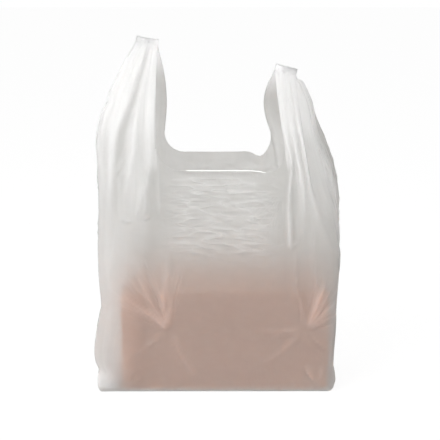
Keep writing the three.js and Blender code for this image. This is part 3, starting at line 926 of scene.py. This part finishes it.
def cartonMaterial():
    material, tree = newMaterial("brownBoard")
    place = addNode(tree, "ShaderNodeTexCoord", {}).outputs
    fibre, ribs = cartonLook["fibre"], cartonLook["ribs"]
    stretched = addNode(tree, "ShaderNodeMapping", {"Vector": place["Object"], "Scale": fibre["stretch"]})
    fibres = addNode(tree, "ShaderNodeTexNoise", {
        "Vector": stretched.outputs[0], "Scale": fibre["scale"], "Detail": fibre["detail"]}).outputs["Fac"]
    board = colourMix(tree, fibres, cartonLook["board"], cartonLook["darker"])
    # painted shade: faces that point up are darker
    facing = addNode(tree, "ShaderNodeSeparateXYZ", {0: place["Normal"]}).outputs["Z"]
    shadedTopShare = addNode(tree, "ShaderNodeMapRange", {
        "Value": facing, "From Min": cartonLook["shadedTopFacing"][0], "From Max": cartonLook["shadedTopFacing"][1]})
    wave = addNode(tree, "ShaderNodeTexWave", {
        "Vector": place["Object"], "Scale": ribs["perMetre"] / (2 * math.pi), "Distortion": ribs["waver"]})
    ribRelief = addNode(tree, "ShaderNodeBump", {
        "Strength": ribs["strength"], "Distance": ribs["depth"], "Height": wave.outputs["Fac"]})
    grain = addNode(tree, "ShaderNodeBump", {
        "Strength": fibre["strength"], "Distance": fibre["depth"], "Height": fibres,
        "Normal": ribRelief.outputs["Normal"]})
    roughness = addNode(tree, "ShaderNodeMapRange", {
        "Value": fibres, "To Min": cartonLook["roughness"][0], "To Max": cartonLook["roughness"][1]})
    giveInputs(tree, tree.nodes["Principled BSDF"], {
        "Base Color": colourMix(tree, shadedTopShare.outputs[0], board, cartonLook["shadedTop"]),
        "Roughness": roughness.outputs[0],
        "Normal": grain.outputs["Normal"],
    })
    return material


print("materials")
groups = (crinkleGroup(), fineCreaseGroup(), roundKnotGroup())
filmMesh.materials.append(filmMaterial("whiteFilm", filmLook, *groups))
# painted highlight on the curled front lip
filmMesh.materials.append(filmMaterial("lipPaintedHighlight", lipHighlightLook, *groups))
for index in curledFaces:
    filmMesh.polygons[index].material_index = 1
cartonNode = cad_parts["packed_carton"]
if not cartonNode.material_slots:
    cartonNode.data.materials.append(None)
brownBoard = cartonMaterial()
for slot in cartonNode.material_slots:
    slot.material = brownBoard

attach(filmPiece, "root")
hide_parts("film_bag")


studio = {
    "floor": 0.92,          # how light the floor is
    "floorSize": 12,
    "floorGlow": 0.92,      # how far the floor is shown as plain white
    "backdrop": 1.0,
    "room": 0.83,           # strength of the white room as a light
    # Lamps, in metres and watts
    "key": {"at": (-1.0, -1.2, 1.5), "size": 1.3, "power": 40},
    "fill": {"at": (1.3, -1.0, 0.9), "size": 1.2, "power": 4},
    "top": {"at": (0.1, 0.25, 1.8), "size": 1.0, "power": 4},
    "lampsAim": (0, 0, 0.2),
}


def studioFloor():
    mesh = bpy.data.meshes.new("studioFloor")
    half = studio["floorSize"] / 2
    corners = [(-half, -half, 0), (half, -half, 0), (half, half, 0), (-half, half, 0)]
    mesh.from_pydata(corners, [], [(0, 1, 2, 3)])
    piece = bpy.data.objects.new("studioFloor", mesh)
    bpy.context.scene.collection.objects.link(piece)
    material, tree = newMaterial("paleFloor")
    surface = tree.nodes["Principled BSDF"]
    level = studio["floor"]
    giveInputs(tree, surface, {
        "Base Color": (level, level, level, 1), "Roughness": 0.9, "Specular IOR Level": 0.1})
    white = addNode(tree, "ShaderNodeEmission", {})
    seen = addNode(tree, "ShaderNodeLightPath", {}).outputs
    direct = maths(tree, "MAXIMUM", seen["Is Camera Ray"], seen["Is Transmission Ray"])
    shown = maths(tree, "MAXIMUM", direct, seen["Is Glossy Ray"])
    glow = maths(tree, "MULTIPLY", shown, studio["floorGlow"])
    blend = addNode(tree, "ShaderNodeMixShader", {0: glow, 1: surface.outputs[0], 2: white.outputs[0]})
    giveInputs(tree, tree.nodes["Material Output"], {"Surface": blend.outputs[0]})
    mesh.materials.append(material)


def studioRoom():
    world = bpy.data.worlds.new("whiteRoom")
    bpy.context.scene.world = world
    world.use_nodes = True
    tree = world.node_tree
    light = tree.nodes["Background"]
    giveInputs(tree, light, {"Color": (1, 1, 1, 1), "Strength": studio["room"]})
    shown = addNode(tree, "ShaderNodeBackground", {"Color": (1, 1, 1, 1), "Strength": studio["backdrop"]})
    seen = addNode(tree, "ShaderNodeLightPath", {}).outputs
    direct = maths(tree, "MAXIMUM", seen["Is Camera Ray"], seen["Is Transmission Ray"])
    blend = addNode(tree, "ShaderNodeMixShader", {0: direct, 1: light.outputs[0], 2: shown.outputs[0]})
    giveInputs(tree, tree.nodes["World Output"], {"Surface": blend.outputs[0]})


def studioLamp(name):
    look = studio[name]
    data = bpy.data.lights.new(name + "Lamp", "AREA")
    data.size = look["size"]
    data.energy = look["power"]
    lamp = bpy.data.objects.new(name + "Lamp", data)
    bpy.context.scene.collection.objects.link(lamp)
    lamp.location = look["at"]
    lamp.rotation_euler = (Vector(studio["lampsAim"]) - lamp.location).to_track_quat("-Z", "Y").to_euler()


# The camera that matches the photo; turn and height in degrees
view = {"turn": 0.22, "height": 13.47, "distance": 1.8, "lens": 112.5,
        "aim": (4.3 * mm, 0.6 * mm, 215 * mm)}


def studioCamera():
    data = bpy.data.cameras.new("photoCamera")
    data.lens = view["lens"]
    data.sensor_width = 36
    camera = bpy.data.objects.new("photoCamera", data)
    bpy.context.scene.collection.objects.link(camera)
    turn, height = math.radians(view["turn"]), math.radians(view["height"])
    level = math.cos(height)
    ahead = Vector((math.sin(turn) * level, math.cos(turn) * level, -math.sin(height)))
    camera.location = Vector(view["aim"]) - ahead * view["distance"]
    camera.rotation_euler = ahead.to_track_quat("-Z", "Y").to_euler()
    bpy.context.scene.camera = camera


print("studio")
studioFloor()
studioRoom()
for lampName in ("key", "fill", "top"):
    studioLamp(lampName)
studioCamera()
bpy.context.scene.view_settings.view_transform = "Standard"
